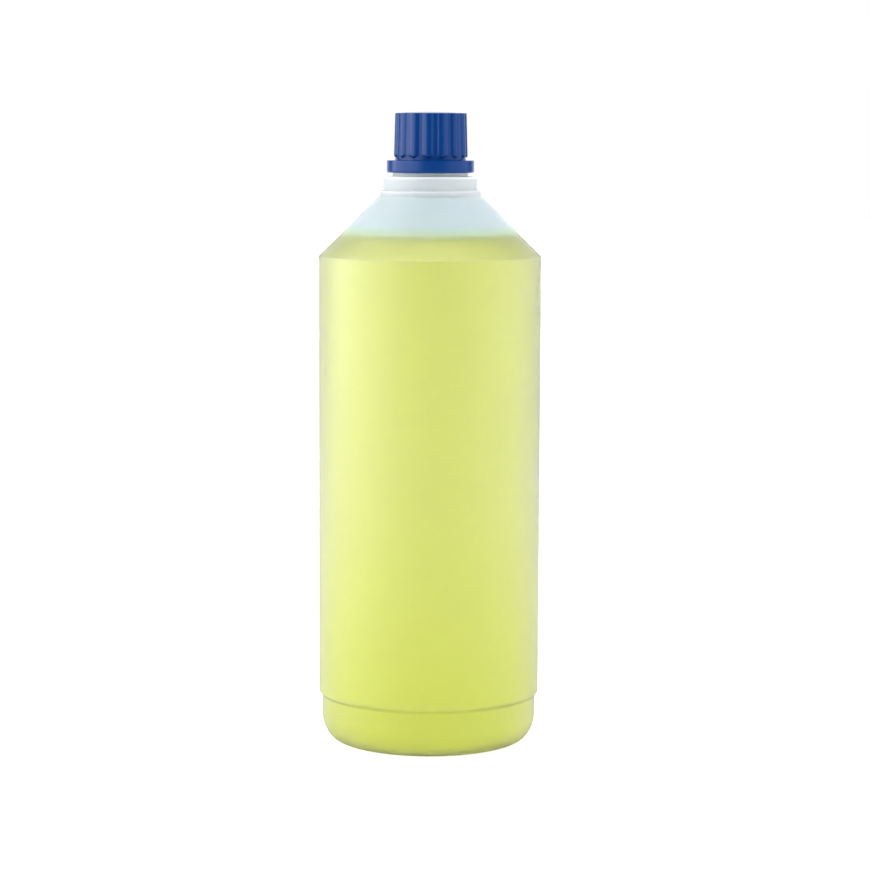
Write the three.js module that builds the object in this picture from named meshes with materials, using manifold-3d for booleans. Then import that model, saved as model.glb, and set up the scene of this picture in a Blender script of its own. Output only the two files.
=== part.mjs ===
// A one litre detergent bottle with a ribbed screw cap: the blow-moulded bottle, the liquid in it,
// the cap and the sealing disc under the cap. Millimetres, +Z up, the bottle's axis on Z and its
// standing ring at height 0. The front of the bottle faces -Y.

import * as THREE from "three";
import { mergeVertices } from "three/addons/utils/BufferGeometryUtils.js";
import Module from "manifold-3d";

const wasm = await Module();
wasm.setup();

// Bottle: base, foot and label panel
const footRadius = 40.8;
const footHeight = 18.0;
const heelReach = 7.1;
const heelRise = 10.6;
const standingRingWidth = 2.7;
const baseRecess = 2.4;
const panelRadius = 42.0;
const panelHeight = 166.8;

// Bottle: shoulder, step ring, collar and neck
const shoulderHeight = 22.2;
const shoulderTopRadius = 19.4;
const stepRingRadius = 18.95;
const stepRingHeight = 2.4;
const collarRadius = 17.65;
const collarHeight = 5.3;
const collarEdge = 1.0;
const beadRadius = 14.2;
const beadEdge = 0.7;
const neckRadius = 10.7;
const neckHeight = 17.3;
const boreRadius = 8.9;
const rimEdge = 0.35;

// Bottle: wall thicknesses
const wall = 0.9;
const baseWall = 1.3;
const collarWall = 1.2;
const neckRootRise = 5.2;

// Liquid
const levelAboveShoulderEdge = 8.4;
const liquidGap = 0.3;

// Thread
const threadPitch = 3.2;
const threadTurns = 1.5;
const capThreadTurns = 1.25;
const threadDepth = 1.0;
const threadFootWidth = 1.5;
const threadCrestWidth = 0.7;
const threadBelowRim = 2.2;
const threadFadeDegrees = 40;
const threadSink = 0.4;
const threadSideGap = 0.3;
const threadCrestGap = 0.3;
const threadRootGap = 0.5;

// Cap and liner
const capAboveCollar = 1.4;
const flangeRadius = 16.45;
const flangeHeight = 4.6;
const flangeEdge = 0.4;
const flangeWeb = 1.2;
const flangeToBeadGap = 0.5;
const beadHeadroom = 0.9;
const coveRadius = 0.7;
const ribFootGap = 0.9;
const ribEndRound = 0.6;
const ribDepth = 0.7;
const ribCrownDrop = 0.12;
const ribBottomRadius = 13.97;
const ribTopRadius = 13.55;
const ribCount = 15;
const ribShare = 0.6;
const ribFlankShare = 0.08;
const frontRibDegrees = -4.25;
const capEdge = 0.35;
const capTopPlate = 1.5;
const boreLeadIn = 0.8;
const linerThickness = 1.2;
const linerTopGap = 0.2;
const linerSideGap = 0.3;

// How finely the round shapes are divided
const roundColumns = 48;
const arcSteps = 6;
const edgeSteps = 3;
const ribCrownColumns = 4;
const ribFloorColumns = 2;
const cutOverrun = 1.0;

// Heights that follow from the sizes above
const shoulderEdgeHeight = footHeight + panelHeight;
const stepRingBottom = shoulderEdgeHeight + shoulderHeight;
const collarBottom = stepRingBottom + stepRingHeight;
const collarTop = collarBottom + collarHeight;
const capBottom = collarTop + capAboveCollar;
const flangeTop = capBottom + flangeHeight;
const flangeRecessTop = flangeTop - flangeWeb;
const beadTop = flangeRecessTop - beadHeadroom;
const rimHeight = beadTop + neckHeight;
const capCeiling = rimHeight + linerThickness + linerTopGap;
const capTop = capCeiling + capTopPlate;

// Radii that follow from the sizes above
const threadCrestRadius = neckRadius + threadDepth;
const capBoreRadius = threadCrestRadius + threadCrestGap;
const capThreadCrestRadius = neckRadius + threadRootGap;
const flangeRecessRadius = beadRadius + flangeToBeadGap;

function point(radius, height) {
  return new THREE.Vector2(radius, height);
}

// Points on an ellipse in the profile plane, from one angle to another.
function ellipticArc(centre, reach, rise, fromDegrees, toDegrees, steps) {
  const points = [];
  for (let step = 0; step <= steps; step += 1) {
    const degrees = fromDegrees + ((toDegrees - fromDegrees) * step) / steps;
    const angle = THREE.MathUtils.degToRad(degrees);
    points.push(point(centre.x + reach * Math.cos(angle), centre.y + rise * Math.sin(angle)));
  }
  return points;
}

// An upper outside edge of a given radius, rounded by an edge radius.
function roundedTopEdge(radius, top, edge) {
  return ellipticArc(point(radius - edge, top - edge), edge, edge, 0, 90, edgeSteps);
}

// A profile that starts and ends on the axis, turned round Z.
function turned(profile, columns) {
  const geometry = new THREE.LatheGeometry(profile, columns);
  geometry.rotateX(Math.PI / 2);
  return geometry;
}

// The slope of the shoulder, as radius lost for each millimetre of height.
const shoulderSlope = (panelRadius - shoulderTopRadius) / shoulderHeight;

// The height at which the shoulder, moved inwards by an offset, has a given radius.
function shoulderHeightAt(radius, offset) {
  const shoulderAngle = Math.atan(shoulderSlope);
  const cornerHeight = shoulderEdgeHeight - offset * Math.tan(shoulderAngle / 2);
  return cornerHeight + (panelRadius - offset - radius) / shoulderSlope;
}

// The radius of the shoulder, moved inwards by an offset, at a given height.
function shoulderRadiusAt(height, offset) {
  const shoulderAngle = Math.atan(shoulderSlope);
  const cornerHeight = shoulderEdgeHeight - offset * Math.tan(shoulderAngle / 2);
  return panelRadius - offset - (height - cornerHeight) * shoulderSlope;
}

// The step from the foot out to the label panel, a 45 degree chamfer, moved inwards by an offset.
function footStep(offset) {
  const stepWidth = panelRadius - footRadius;
  const lift = offset * Math.tan(Math.PI / 8);
  return [
    point(footRadius - offset, footHeight - stepWidth / 2 + lift),
    point(panelRadius - offset, footHeight + stepWidth / 2 + lift),
  ];
}

// The inside of the bottle from the middle of its base up to the shoulder's edge, kept clear by a gap.
function insideBelowShoulder(gap) {
  const recessRadius = footRadius - heelReach - standingRingWidth / 2;
  const heelCentreRadius = footRadius - heelReach;
  const insideReach = heelReach - wall - gap;
  const insideRise = heelRise - baseWall - gap;
  return [
    ...ellipticArc(point(0, baseWall + gap), recessRadius, baseRecess, 90, 0, arcSteps),
    ...ellipticArc(point(heelCentreRadius, heelRise), insideReach, insideRise, -90, 0, arcSteps),
    ...footStep(wall + gap),
    point(panelRadius - wall - gap, shoulderHeightAt(panelRadius - wall - gap, wall + gap)),
  ];
}

function bottleOutside() {
  const recessRadius = footRadius - heelReach - standingRingWidth;
  return [
    ...ellipticArc(point(0, 0), recessRadius, baseRecess, 90, 0, arcSteps),
    ...ellipticArc(point(footRadius - heelReach, heelRise), heelReach, heelRise, -90, 0, arcSteps),
    ...footStep(0),
    point(panelRadius, shoulderEdgeHeight),
    point(shoulderTopRadius, stepRingBottom),
    point(stepRingRadius, stepRingBottom),
    point(stepRingRadius, collarBottom),
    point(collarRadius, collarBottom),
    ...roundedTopEdge(collarRadius, collarTop, collarEdge),
    point(beadRadius, collarTop),
    ...roundedTopEdge(beadRadius, beadTop, beadEdge),
    point(neckRadius, beadTop),
    point(neckRadius, rimHeight - rimEdge),
    point(neckRadius - rimEdge, rimHeight),
  ];
}

// The mouth and the inside of the bottle, from the rim down to the middle of the base.
function bottleInside() {
  const collarInsideRadius = collarRadius - collarWall;
  const roofReach = collarInsideRadius - boreRadius;
  const roofFoot = shoulderHeightAt(collarInsideRadius, wall) + collarWall;
  const upwards = [
    ...insideBelowShoulder(0),
    point(collarInsideRadius, shoulderHeightAt(collarInsideRadius, wall)),
    ...ellipticArc(point(boreRadius, roofFoot), roofReach, neckRootRise, 0, 90, arcSteps),
    point(boreRadius, rimHeight - rimEdge),
    point(boreRadius + rimEdge, rimHeight),
  ];
  return upwards.reverse();
}

function liquidProfile() {
  const level = shoulderEdgeHeight + levelAboveShoulderEdge;
  return [
    ...insideBelowShoulder(liquidGap),
    point(shoulderRadiusAt(level, wall + liquidGap), level),
    point(0, level),
  ];
}

// The section of a thread ridge. It stands on a round seat and sinks into the wall behind it.
function ridgeSection(ridge) {
  const sunkRadius = ridge.seatRadius - Math.sign(ridge.crestRadius - ridge.seatRadius) * threadSink;
  return new THREE.Shape([
    point(sunkRadius, -threadFootWidth / 2),
    point(ridge.seatRadius, -threadFootWidth / 2),
    point(ridge.crestRadius, -threadCrestWidth / 2),
    point(ridge.crestRadius, threadCrestWidth / 2),
    point(ridge.seatRadius, threadFootWidth / 2),
    point(sunkRadius, threadFootWidth / 2),
  ]);
}

// A right-hand thread ridge: its section is extruded straight, with one millimetre for each radian,
// and then bent round the axis. The ridge fades into its seat at both ends.
function threadRidge(ridge) {
  const sweep = ridge.turns * 2 * Math.PI;
  const steps = Math.round(ridge.turns * roundColumns);
  const fade = THREE.MathUtils.degToRad(threadFadeDegrees);
  const outwards = Math.sign(ridge.crestRadius - ridge.seatRadius);
  const settings = { depth: sweep, steps, bevelEnabled: false };
  const geometry = new THREE.ExtrudeGeometry(ridgeSection(ridge), settings);
  const position = geometry.attributes.position;
  for (let index = 0; index < position.count; index += 1) {
    const angle = sweep - position.getZ(index);
    const rise = THREE.MathUtils.clamp(Math.min(angle, sweep - angle) / fade, 0, 1);
    const overSeat = position.getX(index) - ridge.seatRadius;
    const radius = ridge.seatRadius + overSeat * (overSeat * outwards > 0 ? rise : 1);
    const height = position.getY(index) + ridge.startHeight + (threadPitch * angle) / (2 * Math.PI);
    position.setXYZ(index, radius * Math.cos(angle), radius * Math.sin(angle), height);
  }
  return geometry;
}

// The closed solid that a geometry bounds, with its vertices merged and its empty triangles left out.
function solidOf(geometry) {
  const bare = geometry.clone();
  bare.deleteAttribute("normal");
  bare.deleteAttribute("uv");
  const merged = mergeVertices(bare);
  const corners = merged.index.array;
  const kept = [];
  for (let start = 0; start < corners.length; start += 3) {
    const [a, b, c] = corners.subarray(start, start + 3);
    if (a !== b && b !== c && c !== a) {
      kept.push(a, b, c);
    }
  }
  const vertProperties = new Float32Array(merged.attributes.position.array);
  const triVerts = new Uint32Array(kept);
  return new wasm.Manifold(new wasm.Mesh({ numProp: 3, vertProperties, triVerts }));
}

function geometryOf(solid) {
  const mesh = solid.getMesh();
  const geometry = new THREE.BufferGeometry();
  geometry.setAttribute("position", new THREE.BufferAttribute(mesh.vertProperties, 3));
  geometry.setIndex(new THREE.BufferAttribute(mesh.triVerts, 1));
  geometry.computeVertexNormals();
  return geometry;
}

function bottleGeometry() {
  const body = turned([...bottleOutside(), ...bottleInside()], roundColumns);
  const thread = threadRidge({
    seatRadius: neckRadius,
    crestRadius: threadCrestRadius,
    turns: threadTurns,
    startHeight: rimHeight - threadBelowRim - threadTurns * threadPitch,
  });
  return geometryOf(solidOf(body).add(solidOf(thread)));
}

// The columns of one rib and one groove: how far each lies from the rib's middle, as a share of the
// rib spacing, and how much of the rib's depth it has.
function ribColumns() {
  const columns = [];
  for (let step = 0; step < ribCrownColumns; step += 1) {
    const across = (2 * step) / (ribCrownColumns - 1) - 1;
    columns.push({ share: (across * ribShare) / 2, proud: 1 - ribCrownDrop * across * across });
  }
  const floorShare = 1 - ribShare - 2 * ribFlankShare;
  for (let step = 0; step < ribFloorColumns; step += 1) {
    const across = step / (ribFloorColumns - 1);
    columns.push({ share: ribShare / 2 + ribFlankShare + across * floorShare, proud: 0 });
  }
  return columns;
}

// The outside of the cap: each level has a radius, a height and the share of the rib's depth there.
function capOutside() {
  const plain = (corner) => ({ radius: corner.x, height: corner.y, rib: 0 });
  const edge = flangeRadius - flangeEdge;
  const coreBottomRadius = ribBottomRadius - ribDepth;
  const coreTopRadius = ribTopRadius - ribDepth;
  const coveCentreRadius = coreBottomRadius + coveRadius;
  const coveMiddle = coveRadius * (1 - Math.SQRT1_2);
  const ribFoot = flangeTop + ribFootGap;
  const ribStart = (rise) => ({
    radius: coreBottomRadius,
    height: ribFoot + ribEndRound * (1 - Math.cos((rise * Math.PI) / 2)),
    rib: Math.sin((rise * Math.PI) / 2),
  });
  return [
    plain(point(0, capBottom)),
    plain(point(edge, capBottom)),
    plain(point(flangeRadius, capBottom + flangeEdge)),
    plain(point(flangeRadius, flangeTop - flangeEdge)),
    plain(point(edge, flangeTop)),
    plain(point(coveCentreRadius, flangeTop)),
    plain(point(coreBottomRadius + coveMiddle, flangeTop + coveMiddle)),
    plain(point(coreBottomRadius, flangeTop + coveRadius)),
    ribStart(0),
    ribStart(1 / 3),
    ribStart(2 / 3),
    ribStart(1),
    { radius: coreTopRadius, height: capTop - capEdge, rib: 1 },
    { radius: coreTopRadius - capEdge, height: capTop, rib: 1 },
    plain(point(0, capTop)),
  ];
}

// The cap's outside turned round the axis, with its columns moved out to form the ribs.
function ribbedOutside() {
  const levels = capOutside();
  const columns = ribColumns();
  const spacing = (2 * Math.PI) / ribCount;
  const profile = levels.map((level) => point(level.radius, level.height));
  const geometry = new THREE.LatheGeometry(profile, ribCount * columns.length);
  const position = geometry.attributes.position;
  for (let index = 0; index < position.count; index += 1) {
    const level = levels[index % levels.length];
    const column = Math.floor(index / levels.length) % (ribCount * columns.length);
    const rib = Math.floor(column / columns.length);
    const { share, proud } = columns[column % columns.length];
    const angle = THREE.MathUtils.degToRad(frontRibDegrees) + (rib + share) * spacing;
    const radius = level.radius + level.rib * proud * ribDepth;
    position.setXYZ(index, radius * Math.sin(angle), level.height, radius * Math.cos(angle));
  }
  geometry.rotateX(Math.PI / 2);
  return geometry;
}

function capInside() {
  return turned(
    [
      point(0, capBottom - cutOverrun),
      point(flangeRecessRadius, capBottom - cutOverrun),
      point(flangeRecessRadius, flangeRecessTop),
      point(capBoreRadius + boreLeadIn, flangeRecessTop),
      point(capBoreRadius, flangeRecessTop + boreLeadIn),
      point(capBoreRadius, capCeiling),
      point(0, capCeiling),
    ],
    roundColumns,
  );
}

// The cap's thread starts level with the bottle's thread, one clearance below its lower flank.
function capGeometry() {
  const meshedWidth = (threadFootWidth + threadCrestWidth) / 2;
  const thread = threadRidge({
    seatRadius: capBoreRadius,
    crestRadius: capThreadCrestRadius,
    turns: capThreadTurns,
    startHeight: rimHeight - threadBelowRim - threadTurns * threadPitch - meshedWidth - threadSideGap,
  });
  return geometryOf(solidOf(ribbedOutside()).subtract(solidOf(capInside())).add(solidOf(thread)));
}

function linerGeometry() {
  const radius = capBoreRadius - linerSideGap;
  return turned(
    [
      point(0, rimHeight),
      point(radius, rimHeight),
      point(radius, rimHeight + linerThickness),
      point(0, rimHeight + linerThickness),
    ],
    roundColumns,
  );
}

function piece(name, geometry, finish) {
  const mesh = new THREE.Mesh(geometry, new THREE.MeshStandardMaterial(finish));
  mesh.name = name;
  return mesh;
}

const naturalPlastic = { color: 0xdde8ee, roughness: 0.35, metalness: 0, transparent: true, opacity: 0.45 };
const yellowGreenLiquid = { color: 0xd0dc6e, roughness: 0.1, metalness: 0 };
const bluePlastic = { color: 0x2a50a8, roughness: 0.4, metalness: 0 };
const whiteFoam = { color: 0xf0f0ee, roughness: 0.8, metalness: 0 };

const detergentBottle = new THREE.Group();
detergentBottle.add(piece("bottle", bottleGeometry(), naturalPlastic));
detergentBottle.add(piece("detergent", turned(liquidProfile(), roundColumns), yellowGreenLiquid));
detergentBottle.add(piece("screw_cap", capGeometry(), bluePlastic));
detergentBottle.add(piece("cap_liner", linerGeometry(), whiteFoam));

export default detergentBottle;
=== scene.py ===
# A one litre bottle of yellow-green detergent with a ribbed blue cap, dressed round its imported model.
# Metres, the bottle's axis on Z, the standing ring at height 0 and the front towards -Y.

import math

import bpy
import numpy as np
from mathutils import Matrix, Vector


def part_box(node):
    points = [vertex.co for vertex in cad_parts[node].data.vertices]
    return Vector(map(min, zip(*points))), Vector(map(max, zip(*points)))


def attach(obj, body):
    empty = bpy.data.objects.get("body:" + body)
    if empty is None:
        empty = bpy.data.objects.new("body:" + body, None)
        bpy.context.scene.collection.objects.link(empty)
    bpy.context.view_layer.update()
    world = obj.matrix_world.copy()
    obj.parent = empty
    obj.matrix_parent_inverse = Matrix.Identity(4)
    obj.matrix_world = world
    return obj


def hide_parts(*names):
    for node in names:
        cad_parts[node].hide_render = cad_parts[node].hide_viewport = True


MM = 0.001

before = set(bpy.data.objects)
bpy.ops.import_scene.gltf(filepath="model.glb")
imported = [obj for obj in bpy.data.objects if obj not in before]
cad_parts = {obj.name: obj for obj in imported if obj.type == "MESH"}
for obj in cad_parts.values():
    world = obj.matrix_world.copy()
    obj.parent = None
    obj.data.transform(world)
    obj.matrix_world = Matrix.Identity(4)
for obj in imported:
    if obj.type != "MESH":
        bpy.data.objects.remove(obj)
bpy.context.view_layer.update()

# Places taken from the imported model
PANEL_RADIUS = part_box("bottle")[1].x
RIM_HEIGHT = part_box("bottle")[1].z
CAP_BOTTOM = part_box("screw_cap")[0].z
CAP_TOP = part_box("screw_cap")[1].z
LIQUID_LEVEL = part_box("detergent")[1].z

# Bottle: outside
FOOT_RADIUS = 40.8 * MM
FOOT_HEIGHT = 18.0 * MM
HEEL_REACH = 7.1 * MM
HEEL_RISE = 10.6 * MM
RING_WIDTH = 2.7 * MM
BASE_RECESS = 2.4 * MM
SHOULDER_EDGE = 184.8 * MM
STEP_RING_BOTTOM = 207.0 * MM
SHOULDER_TOP_RADIUS = 19.4 * MM
STEP_RING_RADIUS = 18.95 * MM
COLLAR_BOTTOM = 209.4 * MM
COLLAR_RADIUS = 17.65 * MM
COLLAR_TOP = CAP_BOTTOM - 1.4 * MM
COLLAR_EDGE = 1.0 * MM
BEAD_RADIUS = 14.2 * MM
BEAD_TOP = CAP_BOTTOM + 2.5 * MM
BEAD_EDGE = 0.7 * MM
NECK_RADIUS = 10.7 * MM
BORE_RADIUS = 8.9 * MM
RIM_EDGE = 0.35 * MM
FINE_EDGE = 0.3 * MM

# Bottle: wall
WALL = 0.9 * MM
BASE_WALL = 1.3 * MM
COLLAR_WALL = 1.2 * MM
NECK_ROOF_RISE = 5.2 * MM

# Liquid
LIQUID_GAP = 0.3 * MM
MENISCUS_RISE = 0.9 * MM
MENISCUS_REACH = 1.6 * MM

# Thread
THREAD_PITCH = 3.2 * MM
THREAD_TURNS = 1.5
CAP_THREAD_TURNS = 1.25
THREAD_DEPTH = 1.0 * MM
THREAD_FOOT_WIDTH = 1.5 * MM
THREAD_CREST_WIDTH = 0.7 * MM
THREAD_START = RIM_HEIGHT - 2.2 * MM - THREAD_TURNS * THREAD_PITCH
THREAD_SIDE_GAP = 0.3 * MM
CAP_THREAD_START = THREAD_START - (THREAD_FOOT_WIDTH + THREAD_CREST_WIDTH) / 2 - THREAD_SIDE_GAP
THREAD_FADE_TURNS = 40 / 360

# Cap
CAP_BORE_RADIUS = 12.0 * MM
CAP_THREAD_DEPTH = 0.8 * MM
CAP_CEILING = CAP_TOP - 1.5 * MM
FLANGE_RADIUS = 16.44 * MM
FLANGE_TOP = CAP_BOTTOM + 4.6 * MM
FLANGE_EDGE = 0.4 * MM
FLANGE_RECESS_RADIUS = 14.7 * MM
FLANGE_RECESS_TOP = CAP_BOTTOM + 3.4 * MM
BORE_LEAD_IN = 0.8 * MM
COVE_RADIUS = 0.7 * MM
RIB_FOOT = FLANGE_TOP + 0.9 * MM
RIB_FOOT_CURVE = 0.55 * MM
RIB_END_ROUND = 0.6 * MM
RIB_ROWS_BELOW_FOOT = 0.2 * MM
RIB_ROWS_ABOVE_FOOT = 1.6 * MM
RIB_DEPTH = 0.7 * MM
RIB_CROWN_DROP = 0.3
CORE_BOTTOM_RADIUS = 13.97 * MM - RIB_DEPTH
CORE_TOP_RADIUS = 13.55 * MM - RIB_DEPTH
RIB_COUNT = 15
RIB_SHARE = 0.4
RIB_FLANK_SHARE = 0.2
FRONT_RIB_DEGREES = -4.25
CAP_EDGE = 0.35 * MM
CAP_DOME = 0.5 * MM
CAP_DOME_STEPS = 10

# How finely the round shapes are divided
BOTTLE_COLUMNS = 240
CAP_COLUMNS = RIB_COUNT * 24
FILLET_STEPS = 4
ARC_STEPS = 20
COVE_STEPS = 6
RIB_END_ROWS = 12
HOLD_ROW = 0.25 * MM
THREAD_ROW = 0.25 * MM

# Natural plastic: heights and widths of the bands where its tint or clearness changes
WETTED_EDGE = 1.5 * MM
DRY_TINT_START = 0.5 * MM
DRY_TINT_END = 4.5 * MM
FOOT_TINT_END = 110 * MM
COLLAR_TINT_START = STEP_RING_BOTTOM - 2 * MM
SHOULDER_BLEND = 2 * MM
BEAD_BLEND = 1 * MM

# The photo's camera: where it looks and from where
CAMERA_DISTANCE = 1041.6 * MM
CAMERA_ELEVATION = 6.48
CAMERA_TARGET_HEIGHT = 116.7 * MM
CAMERA_SIDE = 2.1 * MM
CAMERA_ROLL = 0.225
CAMERA_LENS = 113.3
CAMERA_SENSOR = 36.0

# Strength of the surroundings: as light on the bottle, as seen in its gloss, and as seen through it
FRONT_LIGHT = 0.7
BACK_LIGHT = 2.2
GLOSSY_FRONT = 0.1
GLOSSY_LEFT = 4.6
GLOSSY_RIGHT = 1.4
GLOSSY_BACK = 1.0
THROUGH_LIGHT = 0.7

# Floor: its size, its grey, and how much it glows to the camera and through the bottle
FLOOR_RADIUS = 6.0
FLOOR_WHITE = 0.75
FLOOR_GLOW = 0.75
FLOOR_THROUGH = 0.6

# Lamps: soft boxes as name, azimuth, elevation, distance, width, height and watts
LAMPS = [
    ("left_soft_box", -84, 4, 0.9, 1.25, 0.6, 4.6),
    ("right_soft_box", 80, 4, 0.9, 1.1, 0.6, 2.2),
    ("top_soft_box", 0, 80, 1.1, 1.0, 1.0, 6.5),
]


def point(radius, height):
    return Vector((radius, height))


def arc(centre, reach, rise, start, end, steps=ARC_STEPS):
    """Points on an ellipse in the profile plane, from one angle to another, in degrees."""
    angles = [math.radians(start + (end - start) * step / steps) for step in range(steps + 1)]
    return [point(centre.x + reach * math.cos(a), centre.y + rise * math.sin(a)) for a in angles]


def fillet(before, corner, after, radius, steps=FILLET_STEPS):
    """The corner between two straight lines, rounded to a radius."""
    towards_before = (before - corner).normalized()
    towards_after = (after - corner).normalized()
    half_angle = towards_before.angle(towards_after) / 2
    reach = radius / math.tan(half_angle)
    start = corner + towards_before * reach
    end = corner + towards_after * reach
    middle = (towards_before + towards_after).normalized()
    centre = corner + middle * (radius / math.sin(half_angle))
    spokes = [(start - centre).slerp(end - centre, step / steps) for step in range(steps + 1)]
    return [centre + spoke * radius for spoke in spokes]


def rounded(corners):
    """A profile from (point, fillet radius) pairs."""
    points = []
    for index, (corner, radius) in enumerate(corners):
        if radius > 0:
            points += fillet(corners[index - 1][0], corner, corners[index + 1][0], radius)
        else:
            points.append(corner)
    return points


def held(profile):
    """The profile with a row close to both ends of each long straight, so that flat walls shade flat."""
    points = [profile[0]]
    for start, end in zip(profile, profile[1:]):
        length = (end - start).length
        if length > 4 * HOLD_ROW:
            along = (end - start) / length
            points.append(start + along * HOLD_ROW)
            points.append(end - along * HOLD_ROW)
        points.append(end)
    return points


def divided(profile, radius, row):
    """The profile with its upright wall at a radius cut into rows, where a thread is raised."""
    points = [profile[0]]
    for start, end in zip(profile, profile[1:]):
        on_wall = abs(start.x - radius) < FINE_EDGE / 10 and abs(end.x - radius) < FINE_EDGE / 10
        if on_wall:
            steps = math.ceil(abs(end.y - start.y) / row)
            points += [start.lerp(end, step / steps) for step in range(1, steps)]
        points.append(end)
    return points


def turned(name, profile, columns):
    """A closed mesh turned round Z from a profile whose first and last points are on the axis."""
    angles = np.arange(columns) * 2 * math.pi / columns
    rings = profile[1:-1]
    vertices = [(0, 0, profile[0].y), (0, 0, profile[-1].y)]
    for corner in rings:
        vertices += [(corner.x * math.sin(a), -corner.x * math.cos(a), corner.y) for a in angles]

    def at(ring, column):
        return 2 + ring * columns + column % columns

    faces = []
    last = len(rings) - 1
    for column in range(columns):
        faces.append((0, at(0, column + 1), at(0, column)))
        for ring in range(last):
            below = (at(ring, column), at(ring, column + 1))
            above = (at(ring + 1, column + 1), at(ring + 1, column))
            faces.append(below + above)
        faces.append((1, at(last, column), at(last, column + 1)))
    mesh = bpy.data.meshes.new(name)
    mesh.from_pydata(vertices, [], faces)
    mesh.shade_smooth()
    mesh.validate()
    piece = bpy.data.objects.new(name, mesh)
    bpy.context.scene.collection.objects.link(piece)
    return piece


def shoulder_height(radius, offset):
    """The height at which the shoulder cone, moved inwards by an offset, has a radius."""
    slope = (PANEL_RADIUS - SHOULDER_TOP_RADIUS) / (STEP_RING_BOTTOM - SHOULDER_EDGE)
    corner = SHOULDER_EDGE - offset * math.tan(math.atan(slope) / 2)
    return corner + (PANEL_RADIUS - offset - radius) / slope


def shoulder_radius(height, offset):
    """The radius of the shoulder cone, moved inwards by an offset, at a height."""
    slope = (PANEL_RADIUS - SHOULDER_TOP_RADIUS) / (STEP_RING_BOTTOM - SHOULDER_EDGE)
    corner = SHOULDER_EDGE - offset * math.tan(math.atan(slope) / 2)
    return PANEL_RADIUS - offset - (height - corner) * slope


def foot_step(offset):
    """The two corners of the chamfer between foot and panel, moved inwards by an offset."""
    width = PANEL_RADIUS - FOOT_RADIUS
    lift = offset * math.tan(math.pi / 8)
    return [
        (point(FOOT_RADIUS - offset, FOOT_HEIGHT - width / 2 + lift), FINE_EDGE),
        (point(PANEL_RADIUS - offset, FOOT_HEIGHT + width / 2 + lift), FINE_EDGE),
    ]


def bottle_outside():
    recess_radius = FOOT_RADIUS - HEEL_REACH - RING_WIDTH
    heel_centre = point(FOOT_RADIUS - HEEL_REACH, HEEL_RISE)
    base = arc(point(0, 0), recess_radius, BASE_RECESS, 90, 0)
    heel = arc(heel_centre, HEEL_REACH, HEEL_RISE, -90, 0)
    upper = rounded(
        [
            (heel[-1], 0),
            *foot_step(0),
            (point(PANEL_RADIUS, SHOULDER_EDGE), FINE_EDGE),
            (point(SHOULDER_TOP_RADIUS, STEP_RING_BOTTOM), FINE_EDGE),
            (point(STEP_RING_RADIUS, STEP_RING_BOTTOM + FINE_EDGE), 0),
            (point(STEP_RING_RADIUS, COLLAR_BOTTOM), FINE_EDGE),
            (point(COLLAR_RADIUS, COLLAR_BOTTOM), FINE_EDGE),
            (point(COLLAR_RADIUS, COLLAR_TOP), COLLAR_EDGE),
            (point(BEAD_RADIUS, COLLAR_TOP), FINE_EDGE),
            (point(BEAD_RADIUS, BEAD_TOP), BEAD_EDGE),
            (point(NECK_RADIUS, BEAD_TOP), FINE_EDGE),
            (point(NECK_RADIUS, RIM_HEIGHT), RIM_EDGE),
            (point((NECK_RADIUS + BORE_RADIUS) / 2, RIM_HEIGHT), 0),
        ]
    )
    return base + heel + upper[1:]


def inside_below_shoulder(gap):
    """The inside from the middle of the base up to the shoulder's edge, kept clear by a gap."""
    recess_radius = FOOT_RADIUS - HEEL_REACH - RING_WIDTH / 2
    heel_centre = point(FOOT_RADIUS - HEEL_REACH, HEEL_RISE)
    base = arc(point(0, BASE_WALL + gap), recess_radius, BASE_RECESS, 90, 0)
    heel = arc(heel_centre, HEEL_REACH - WALL - gap, HEEL_RISE - BASE_WALL - gap, -90, 0)
    edge_radius = PANEL_RADIUS - WALL - gap
    edge = point(edge_radius, shoulder_height(edge_radius, WALL + gap))
    above = point(shoulder_radius(LIQUID_LEVEL, WALL + gap), LIQUID_LEVEL)
    sides = rounded([(heel[-1], 0), *foot_step(WALL + gap), (edge, FINE_EDGE), (above, 0)])
    return base + heel + sides[1:-1]


def bottle_inside():
    """The mouth and the inside, from the rim down to the middle of the base."""
    collar_inside = COLLAR_RADIUS - COLLAR_WALL
    foot = shoulder_height(collar_inside, WALL)
    roof = arc(point(BORE_RADIUS, foot + COLLAR_WALL), collar_inside - BORE_RADIUS, NECK_ROOF_RISE, 0, 90)
    mouth = rounded(
        [
            (roof[-1], 0),
            (point(BORE_RADIUS, RIM_HEIGHT), RIM_EDGE),
            (point((NECK_RADIUS + BORE_RADIUS) / 2, RIM_HEIGHT), 0),
        ]
    )
    upwards = inside_below_shoulder(0) + [point(collar_inside, foot)] + roof + mouth[1:-1]
    return list(reversed(upwards))


def liquid_profile():
    """The liquid, with the meniscus that climbs the wall round its surface."""
    wall_radius = shoulder_radius(LIQUID_LEVEL, WALL + LIQUID_GAP)
    surface = LIQUID_LEVEL - MENISCUS_RISE
    centre = point(wall_radius - MENISCUS_REACH, LIQUID_LEVEL)
    meniscus = arc(centre, MENISCUS_REACH, MENISCUS_RISE, 0, -90, FILLET_STEPS * 2)
    return inside_below_shoulder(LIQUID_GAP) + meniscus + [point(0, surface)]


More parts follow.
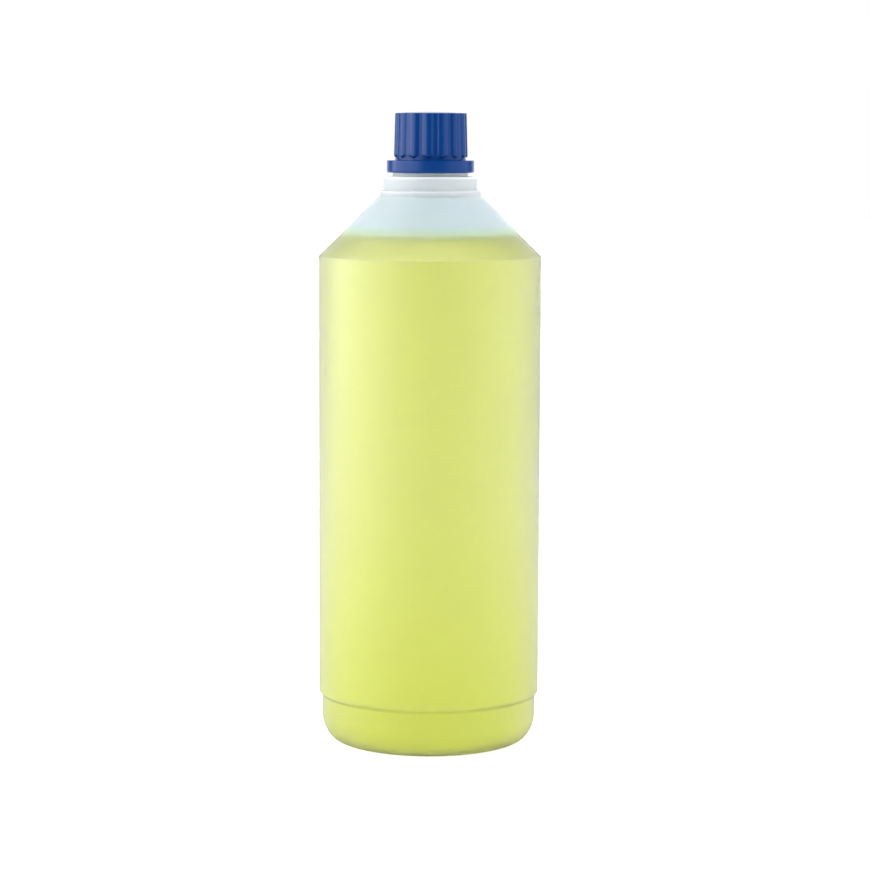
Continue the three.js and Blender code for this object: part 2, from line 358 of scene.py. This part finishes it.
def cap_profile():
    """The cap without ribs or thread: ceiling, bore, flange, skirt and domed top."""
    cove_centre = point(CORE_BOTTOM_RADIUS + COVE_RADIUS, FLANGE_TOP + COVE_RADIUS)
    cove = arc(cove_centre, COVE_RADIUS, COVE_RADIUS, 270, 180, COVE_STEPS)
    inside = rounded(
        [
            (point(0, CAP_CEILING), 0),
            (point(CAP_BORE_RADIUS, CAP_CEILING), FINE_EDGE),
            (point(CAP_BORE_RADIUS, FLANGE_RECESS_TOP + BORE_LEAD_IN), 0),
            (point(CAP_BORE_RADIUS + BORE_LEAD_IN, FLANGE_RECESS_TOP), 0),
            (point(FLANGE_RECESS_RADIUS, FLANGE_RECESS_TOP), FINE_EDGE),
            (point(FLANGE_RECESS_RADIUS, CAP_BOTTOM), FINE_EDGE),
            (point(FLANGE_RADIUS, CAP_BOTTOM), FLANGE_EDGE),
            (point(FLANGE_RADIUS, FLANGE_TOP), FLANGE_EDGE),
            (cove[0], 0),
        ]
    )
    lowest = point(CORE_BOTTOM_RADIUS, RIB_FOOT - RIB_ROWS_BELOW_FOOT)
    highest = point(CORE_BOTTOM_RADIUS, RIB_FOOT + RIB_ROWS_ABOVE_FOOT)
    rib_rows = [lowest.lerp(highest, step / RIB_END_ROWS) for step in range(RIB_END_ROWS + 1)]
    shares = [1 - step / CAP_DOME_STEPS for step in range(CAP_DOME_STEPS + 1)]
    dome = [point(CORE_TOP_RADIUS * share, CAP_TOP - CAP_DOME * share**2) for share in shares]
    edge = rounded([(rib_rows[-1], 0), (dome[0], CAP_EDGE), (dome[1], 0)])
    return inside[:-1] + cove + rib_rows[:-1] + edge + dome[2:]


def maths(tree, operation, *values):
    """A Math node in a geometry or shader tree. Each value is a number or another node's output."""
    node = tree.nodes.new("ShaderNodeMath")
    node.operation = operation
    for socket, value in zip(node.inputs, values):
        if isinstance(value, bpy.types.NodeSocket):
            tree.links.new(value, socket)
        else:
            socket.default_value = value
    return node.outputs[0]


def mapped(tree, value, low, high, to_low=0.0, to_high=1.0, smooth=True):
    """A Map Range node: value between low and high goes to between to_low and to_high, and stays in there."""
    node = tree.nodes.new("ShaderNodeMapRange")
    node.interpolation_type = "SMOOTHSTEP" if smooth else "LINEAR"
    for socket, entry in zip(node.inputs, (value, low, high, to_low, to_high)):
        if isinstance(entry, bpy.types.NodeSocket):
            tree.links.new(entry, socket)
        else:
            socket.default_value = entry
    return node.outputs[0]


def shaping_tree(name, sizes):
    """A Geometry Nodes tree with one named input for each size. It gives the tree and its inputs by name."""
    tree = bpy.data.node_groups.new(name, "GeometryNodeTree")
    tree.interface.new_socket("Geometry", in_out="INPUT", socket_type="NodeSocketGeometry")
    for size in sizes:
        tree.interface.new_socket(size, in_out="INPUT", socket_type="NodeSocketFloat")
    tree.interface.new_socket("Material", in_out="INPUT", socket_type="NodeSocketMaterial")
    tree.interface.new_socket("Geometry", in_out="OUTPUT", socket_type="NodeSocketGeometry")
    entry = tree.nodes.new("NodeGroupInput")
    return tree, {socket.name: socket for socket in entry.outputs if socket.name}


def place_on_axis(tree):
    """A vertex's radius from the axis, its angle from +X, its height and the direction out from the axis."""
    position = tree.nodes.new("GeometryNodeInputPosition").outputs[0]
    parts = tree.nodes.new("ShaderNodeSeparateXYZ")
    tree.links.new(position, parts.inputs[0])
    x, y, z = parts.outputs
    squares = maths(tree, "ADD", maths(tree, "MULTIPLY", x, x), maths(tree, "MULTIPLY", y, y))
    radius = maths(tree, "SQRT", squares)
    angle = maths(tree, "ARCTAN2", y, x)
    outwards = tree.nodes.new("ShaderNodeCombineXYZ")
    tree.links.new(maths(tree, "COSINE", angle), outwards.inputs[0])
    tree.links.new(maths(tree, "SINE", angle), outwards.inputs[1])
    return radius, angle, z, outwards.outputs[0]


def finish_shaping(tree, inputs, outwards, amount):
    """Moves each vertex outwards by an amount, and ends the tree in Realize Instances and Set Material."""
    offset = tree.nodes.new("ShaderNodeVectorMath")
    offset.operation = "SCALE"
    tree.links.new(outwards, offset.inputs[0])
    tree.links.new(amount, offset.inputs["Scale"])
    move = tree.nodes.new("GeometryNodeSetPosition")
    realize = tree.nodes.new("GeometryNodeRealizeInstances")
    finish = tree.nodes.new("GeometryNodeSetMaterial")
    result = tree.nodes.new("NodeGroupOutput")
    tree.links.new(inputs["Geometry"], move.inputs["Geometry"])
    tree.links.new(offset.outputs[0], move.inputs["Offset"])
    tree.links.new(move.outputs[0], realize.inputs[0])
    tree.links.new(realize.outputs[0], finish.inputs["Geometry"])
    tree.links.new(inputs["Material"], finish.inputs["Material"])
    tree.links.new(finish.outputs[0], result.inputs[0])
    return tree


def rib_tree():
    """Raises ribs with arched crowns and round lower ends round the cap's skirt."""
    sizes = [
        "Rib count", "First rib", "Rib share", "Flank share", "Depth",
        "Crown drop", "Least radius", "Foot height", "Foot curve", "End round",
    ]
    tree, inputs = shaping_tree("raised_ribs", sizes)
    radius, angle, height, outwards = place_on_axis(tree)
    turns = maths(tree, "DIVIDE", maths(tree, "SUBTRACT", angle, inputs["First rib"]), 2 * math.pi)
    ribs = maths(tree, "MULTIPLY", turns, inputs["Rib count"])
    from_middle = maths(tree, "ABSOLUTE", maths(tree, "SUBTRACT", ribs, maths(tree, "ROUND", ribs)))
    half_rib = maths(tree, "DIVIDE", inputs["Rib share"], 2)
    half_foot = maths(tree, "ADD", half_rib, inputs["Flank share"])
    side = mapped(tree, from_middle, half_rib, half_foot, 1, 0)
    across = maths(tree, "MINIMUM", maths(tree, "DIVIDE", from_middle, half_rib), 1)
    arch = maths(tree, "MULTIPLY", across, across)
    crown = maths(tree, "SUBTRACT", 1, maths(tree, "MULTIPLY", arch, inputs["Crown drop"]))
    foot = maths(tree, "ADD", inputs["Foot height"], maths(tree, "MULTIPLY", arch, inputs["Foot curve"]))
    end = mapped(tree, height, foot, maths(tree, "ADD", foot, inputs["End round"]))
    outside = maths(tree, "GREATER_THAN", radius, inputs["Least radius"])
    across_rib = maths(tree, "MULTIPLY", side, crown)
    along_rib = maths(tree, "MULTIPLY", end, outside)
    shape = maths(tree, "MULTIPLY", across_rib, along_rib)
    return finish_shaping(tree, inputs, outwards, maths(tree, "MULTIPLY", shape, inputs["Depth"]))


def thread_tree():
    """Raises a right-hand thread ridge on a round wall. A negative depth raises it towards the axis."""
    sizes = [
        "Seat radius", "Depth", "Pitch", "Turns", "Start height",
        "Foot width", "Crest width", "Fade turns",
    ]
    tree, inputs = shaping_tree("raised_thread", sizes)
    radius, angle, height, outwards = place_on_axis(tree)
    part_turn = maths(tree, "DIVIDE", angle, 2 * math.pi)
    risen = maths(tree, "DIVIDE", maths(tree, "SUBTRACT", height, inputs["Start height"]), inputs["Pitch"])
    phase = maths(tree, "SUBTRACT", risen, part_turn)
    whole_turns = maths(tree, "ROUND", phase)
    wound = maths(tree, "ADD", whole_turns, part_turn)
    aside = maths(tree, "ABSOLUTE", maths(tree, "SUBTRACT", phase, whole_turns))
    off_line = maths(tree, "MULTIPLY", aside, inputs["Pitch"])
    half_crest = maths(tree, "DIVIDE", inputs["Crest width"], 2)
    half_foot = maths(tree, "DIVIDE", inputs["Foot width"], 2)
    flank = mapped(tree, off_line, half_crest, half_foot, 1, 0, smooth=False)
    to_end = maths(tree, "MINIMUM", wound, maths(tree, "SUBTRACT", inputs["Turns"], wound))
    fade = mapped(tree, to_end, 0, inputs["Fade turns"])
    on_seat = maths(tree, "COMPARE", radius, inputs["Seat radius"], FINE_EDGE / 10)
    shape = maths(tree, "MULTIPLY", maths(tree, "MULTIPLY", flank, fade), on_seat)
    return finish_shaping(tree, inputs, outwards, maths(tree, "MULTIPLY", shape, inputs["Depth"]))


def shaped(piece, tree, values, material):
    """The piece's mesh as a tree leaves it, made plain."""
    modifier = piece.modifiers.new(tree.name, "NODES")
    modifier.node_group = tree
    for item in tree.interface.items_tree:
        if item.in_out == "INPUT" and item.name in values:
            modifier[item.identifier] = values[item.name]
        if item.in_out == "INPUT" and item.name == "Material":
            modifier[item.identifier] = material
    bpy.context.view_layer.update()
    evaluated = piece.evaluated_get(bpy.context.evaluated_depsgraph_get())
    mesh = bpy.data.meshes.new_from_object(evaluated)
    mesh.name = piece.name
    piece.modifiers.remove(modifier)
    piece.data = mesh
    return piece


def new_material(name):
    """A material, its tree and its Principled node."""
    material = bpy.data.materials.new(name)
    material.use_nodes = True
    return material, material.node_tree, material.node_tree.nodes["Principled BSDF"]


def object_place(tree):
    """Object coordinates, as a vector and as its parts."""
    place = tree.nodes.new("ShaderNodeTexCoord").outputs["Object"]
    parts = tree.nodes.new("ShaderNodeSeparateXYZ")
    tree.links.new(place, parts.inputs[0])
    return place, parts.outputs


def noise(tree, place, scale, detail=3.0, roughness=0.5, stretch=(1, 1, 1)):
    """A Noise Texture on a place that is stretched first."""
    mapping = tree.nodes.new("ShaderNodeMapping")
    mapping.inputs["Scale"].default_value = stretch
    tree.links.new(place, mapping.inputs["Vector"])
    texture = tree.nodes.new("ShaderNodeTexNoise")
    texture.inputs["Scale"].default_value = scale
    texture.inputs["Detail"].default_value = detail
    texture.inputs["Roughness"].default_value = roughness
    tree.links.new(mapping.outputs[0], texture.inputs["Vector"])
    return texture.outputs["Fac"]


def colour_mix(tree, share, first, second):
    """A mix of two colours, by a share from 0 to 1."""
    node = tree.nodes.new("ShaderNodeMix")
    node.data_type = "RGBA"
    tree.links.new(share, node.inputs["Factor"])
    for socket, colour in zip((node.inputs[6], node.inputs[7]), (first, second)):
        if isinstance(colour, bpy.types.NodeSocket):
            tree.links.new(colour, socket)
        else:
            socket.default_value = (*colour, 1)
    return node.outputs[2]


def bumped(tree, height, distance, strength=1.0):
    node = tree.nodes.new("ShaderNodeBump")
    node.inputs["Strength"].default_value = strength
    node.inputs["Distance"].default_value = distance
    tree.links.new(height, node.inputs["Height"])
    return node.outputs[0]


def srgb(red, green, blue):
    """A colour written as 0 to 255 screen values, as the linear values that a shader takes."""
    shares = [value / 255 for value in (red, green, blue)]
    return [s / 12.92 if s <= 0.04045 else ((s + 0.055) / 1.055) ** 2.4 for s in shares]


def natural_plastic():
    """Unpigmented blow-moulded polyethylene: milky, see-through and softly glossy, with a parting line."""
    material, tree, surface = new_material("natural_plastic")
    place, (_, y, z) = object_place(tree)
    dry = mapped(tree, z, LIQUID_LEVEL - WETTED_EDGE, LIQUID_LEVEL + WETTED_EDGE)
    clear = mapped(tree, z, LIQUID_LEVEL + DRY_TINT_START, LIQUID_LEVEL + DRY_TINT_END)
    filled = colour_mix(tree, mapped(tree, z, 0, FOOT_TINT_END), srgb(246, 252, 176), srgb(248, 253, 224))
    wetted = colour_mix(tree, dry, filled, srgb(202, 231, 198))
    collar = mapped(tree, z, COLLAR_TINT_START, COLLAR_BOTTOM)
    unfilled = colour_mix(tree, collar, srgb(212, 232, 251), srgb(233, 242, 255))
    tree.links.new(colour_mix(tree, clear, wetted, unfilled), surface.inputs["Base Color"])
    edge_start = SHOULDER_EDGE - SHOULDER_BLEND
    edge_end = SHOULDER_EDGE + SHOULDER_BLEND
    filled_clarity = mapped(tree, z, edge_start, edge_end, 0.87, 0.92)
    neck_clarity = mapped(tree, z, COLLAR_TOP - BEAD_BLEND, COLLAR_TOP, 0.4, 0.15)
    clarity = mapped(tree, dry, 0, 1, filled_clarity, neck_clarity, smooth=False)
    tree.links.new(clarity, surface.inputs["Transmission Weight"])
    surface.inputs["Subsurface Weight"].default_value = 1.0
    surface.inputs["Subsurface Radius"].default_value = (0.9, 0.95, 1.0)
    surface.inputs["Subsurface Scale"].default_value = 3 * MM
    surface.inputs["IOR"].default_value = 1.5
    flow = noise(tree, place, 90, detail=3, stretch=(1, 1, 0.3))
    ripple = mapped(tree, flow, 0.3, 0.7, -0.02, 0.02)
    roughness = maths(tree, "ADD", mapped(tree, dry, 0, 1, 0.36, 0.42), ripple)
    tree.links.new(roughness, surface.inputs["Roughness"])
    seam = mapped(tree, maths(tree, "ABSOLUTE", y), 0.05 * MM, 0.3 * MM, 1, 0)
    height = maths(tree, "ADD", maths(tree, "MULTIPLY", flow, 0.5), seam)
    tree.links.new(bumped(tree, height, 0.02 * MM), surface.inputs["Normal"])
    return material


def detergent_liquid():
    """Yellow-green detergent, deeper in colour towards the foot of the bottle."""
    material, tree, surface = new_material("detergent_liquid")
    _, (_, _, z) = object_place(tree)
    depth = mapped(tree, z, 0, LIQUID_LEVEL, 0, 1, smooth=False)
    colour = colour_mix(tree, depth, srgb(246, 248, 10), srgb(248, 251, 40))
    tree.links.new(colour, surface.inputs["Base Color"])
    surface.inputs["Subsurface Weight"].default_value = 1.0
    surface.inputs["Subsurface Radius"].default_value = (1.0, 1.0, 0.6)
    surface.inputs["Subsurface Scale"].default_value = 35 * MM
    surface.inputs["Roughness"].default_value = 0.2
    surface.inputs["IOR"].default_value = 1.33
    return material


def blue_plastic():
    """Satin blue moulded plastic with a fine grain and faint flow lines up the skirt."""
    material, tree, surface = new_material("blue_plastic")
    place, _ = object_place(tree)
    flow = noise(tree, place, 320, detail=4, stretch=(1, 1, 0.2))
    grain = noise(tree, place, 2600, detail=2)
    shade = colour_mix(tree, flow, srgb(2, 54, 119), srgb(5, 59, 126))
    tree.links.new(shade, surface.inputs["Base Color"])
    tree.links.new(mapped(tree, flow, 0.3, 0.7, 0.12, 0.16), surface.inputs["Roughness"])
    surface.inputs["IOR"].default_value = 1.5
    surface.inputs["Specular IOR Level"].default_value = 0.2
    height = maths(tree, "ADD", maths(tree, "MULTIPLY", flow, 0.7), maths(tree, "MULTIPLY", grain, 0.3))
    tree.links.new(bumped(tree, height, 0.012 * MM), surface.inputs["Normal"])
    return material


def liner_foam():
    """White foamed sheet with small closed cells."""
    material, tree, surface = new_material("liner_foam")
    place, _ = object_place(tree)
    cells = noise(tree, place, 1800, detail=2)
    shade = colour_mix(tree, cells, srgb(226, 227, 224), srgb(246, 246, 244))
    tree.links.new(shade, surface.inputs["Base Color"])
    surface.inputs["Roughness"].default_value = 0.85
    tree.links.new(bumped(tree, cells, 0.05 * MM), surface.inputs["Normal"])
    return material


def make_bottle():
    profile = held(bottle_outside() + bottle_inside()[1:])
    piece = turned("bottle_shell", divided(profile, NECK_RADIUS, THREAD_ROW), BOTTLE_COLUMNS)
    values = {
        "Seat radius": NECK_RADIUS,
        "Depth": THREAD_DEPTH,
        "Pitch": THREAD_PITCH,
        "Turns": THREAD_TURNS,
        "Start height": THREAD_START,
        "Foot width": THREAD_FOOT_WIDTH,
        "Crest width": THREAD_CREST_WIDTH,
        "Fade turns": THREAD_FADE_TURNS,
    }
    shaped(piece, threads, values, natural_plastic())
    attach(piece, "container")
    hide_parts("bottle")
    return piece


def make_liquid():
    piece = turned("liquid_fill", held(liquid_profile()), BOTTLE_COLUMNS)
    piece.data.materials.append(detergent_liquid())
    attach(piece, "container")
    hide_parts("detergent")
    return piece


def make_cap():
    profile = divided(held(cap_profile()), CAP_BORE_RADIUS, THREAD_ROW)
    piece = turned("ribbed_cap", profile, CAP_COLUMNS)
    material = blue_plastic()
    rib_values = {
        "Rib count": RIB_COUNT,
        "First rib": math.radians(FRONT_RIB_DEGREES - 90),
        "Rib share": RIB_SHARE,
        "Flank share": RIB_FLANK_SHARE,
        "Depth": RIB_DEPTH,
        "Crown drop": RIB_CROWN_DROP,
        "Least radius": (CAP_BORE_RADIUS + CORE_TOP_RADIUS - CAP_EDGE) / 2,
        "Foot height": RIB_FOOT,
        "Foot curve": RIB_FOOT_CURVE,
        "End round": RIB_END_ROUND,
    }
    shaped(piece, rib_tree(), rib_values, material)
    thread_values = {
        "Seat radius": CAP_BORE_RADIUS,
        "Depth": -CAP_THREAD_DEPTH,
        "Pitch": THREAD_PITCH,
        "Turns": CAP_THREAD_TURNS,
        "Start height": CAP_THREAD_START,
        "Foot width": THREAD_FOOT_WIDTH,
        "Crest width": THREAD_CREST_WIDTH,
        "Fade turns": THREAD_FADE_TURNS,
    }
    shaped(piece, threads, thread_values, material)
    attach(piece, "cap")
    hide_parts("screw_cap")
    return piece


def dress_liner():
    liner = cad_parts["cap_liner"]
    liner.data.materials.clear()
    liner.data.materials.append(liner_foam())


def make_world():
    """White to the camera. As light it is dimmer in front than behind. Gloss sees it bright at the sides and
    behind, and dark in front, and what is seen through the bottle is one even grey."""
    world = bpy.data.worlds.new("studio")
    bpy.context.scene.world = world
    world.use_nodes = True
    tree = world.node_tree
    direction = tree.nodes.new("ShaderNodeTexCoord").outputs["Generated"]
    parts = tree.nodes.new("ShaderNodeSeparateXYZ")
    tree.links.new(direction, parts.inputs[0])
    x, y, _ = parts.outputs
    light = mapped(tree, y, -0.6, 1, FRONT_LIGHT, BACK_LIGHT)
    left = mapped(tree, x, -0.85, -0.15, GLOSSY_LEFT, 0)
    right = mapped(tree, x, 0.45, 0.9, 0, GLOSSY_RIGHT)
    beside = maths(tree, "MULTIPLY", maths(tree, "ADD", left, right), mapped(tree, y, 0.3, 0.65, 1, 0))
    behind = mapped(tree, y, 0.6, 0.95, GLOSSY_FRONT, GLOSSY_BACK)
    mirrored = maths(tree, "ADD", beside, behind)
    path = tree.nodes.new("ShaderNodeLightPath").outputs
    lit = mapped(tree, path["Is Glossy Ray"], 0, 1, light, mirrored, smooth=False)
    lit = mapped(tree, path["Is Transmission Ray"], 0, 1, lit, THROUGH_LIGHT, smooth=False)
    strength = mapped(tree, path["Is Camera Ray"], 0, 1, lit, 1, smooth=False)
    background = tree.nodes["Background"]
    background.inputs["Color"].default_value = (1, 1, 1, 1)
    tree.links.new(strength, background.inputs["Strength"])


def make_floor():
    """A pale floor that keeps the object's shadow and runs into the white background."""
    bpy.ops.mesh.primitive_circle_add(vertices=96, radius=FLOOR_RADIUS, fill_type="NGON")
    floor = bpy.context.object
    floor.name = "floor"
    material, tree, surface = new_material("floor_white")
    surface.inputs["Base Color"].default_value = (FLOOR_WHITE, FLOOR_WHITE, FLOOR_WHITE, 1)
    surface.inputs["Roughness"].default_value = 0.9
    surface.inputs["Specular IOR Level"].default_value = 0.0
    surface.inputs["Emission Color"].default_value = (1, 1, 1, 1)
    path = tree.nodes.new("ShaderNodeLightPath").outputs
    glow = mapped(tree, path["Is Transmission Ray"], 0, 1, 0, FLOOR_THROUGH, smooth=False)
    glow = mapped(tree, path["Is Camera Ray"], 0, 1, glow, FLOOR_GLOW, smooth=False)
    tree.links.new(glow, surface.inputs["Emission Strength"])
    floor.data.materials.append(material)


def make_lamp(name, azimuth, elevation, distance, width, height, power):
    """A soft box that faces the bottle. Azimuth 0 is the camera's side and grows towards +X."""
    a, e = math.radians(azimuth), math.radians(elevation)
    away = Vector((math.sin(a) * math.cos(e), -math.cos(a) * math.cos(e), math.sin(e)))
    lamp = bpy.data.lights.new(name, "AREA")
    lamp.shape = "RECTANGLE"
    lamp.size, lamp.size_y = width, height
    lamp.energy = power
    holder = bpy.data.objects.new(name, lamp)
    holder.location = Vector((0, 0, CAMERA_TARGET_HEIGHT)) + away * distance
    holder.rotation_mode = "QUATERNION"
    holder.rotation_quaternion = away.to_track_quat("Z", "Y")
    holder.visible_glossy = False
    bpy.context.scene.collection.objects.link(holder)


def make_camera():
    elevation = math.radians(CAMERA_ELEVATION)
    back = Vector((0, -math.cos(elevation), math.sin(elevation)))
    target = Vector((CAMERA_SIDE, 0, CAMERA_TARGET_HEIGHT))
    data = bpy.data.cameras.new("photo_camera")
    data.lens = CAMERA_LENS
    data.sensor_width = CAMERA_SENSOR
    camera = bpy.data.objects.new("photo_camera", data)
    camera.location = target + back * CAMERA_DISTANCE
    facing = back.to_track_quat("Z", "Y").to_matrix()
    camera.rotation_euler = (facing @ Matrix.Rotation(math.radians(CAMERA_ROLL), 3, "Z")).to_euler()
    bpy.context.scene.collection.objects.link(camera)
    bpy.context.scene.camera = camera


make_camera()
threads = thread_tree()
make_bottle()
make_liquid()
make_cap()
dress_liner()
make_world()
make_floor()
for lamp in LAMPS:
    make_lamp(*lamp)
bpy.context.scene.view_settings.view_transform = "Standard"
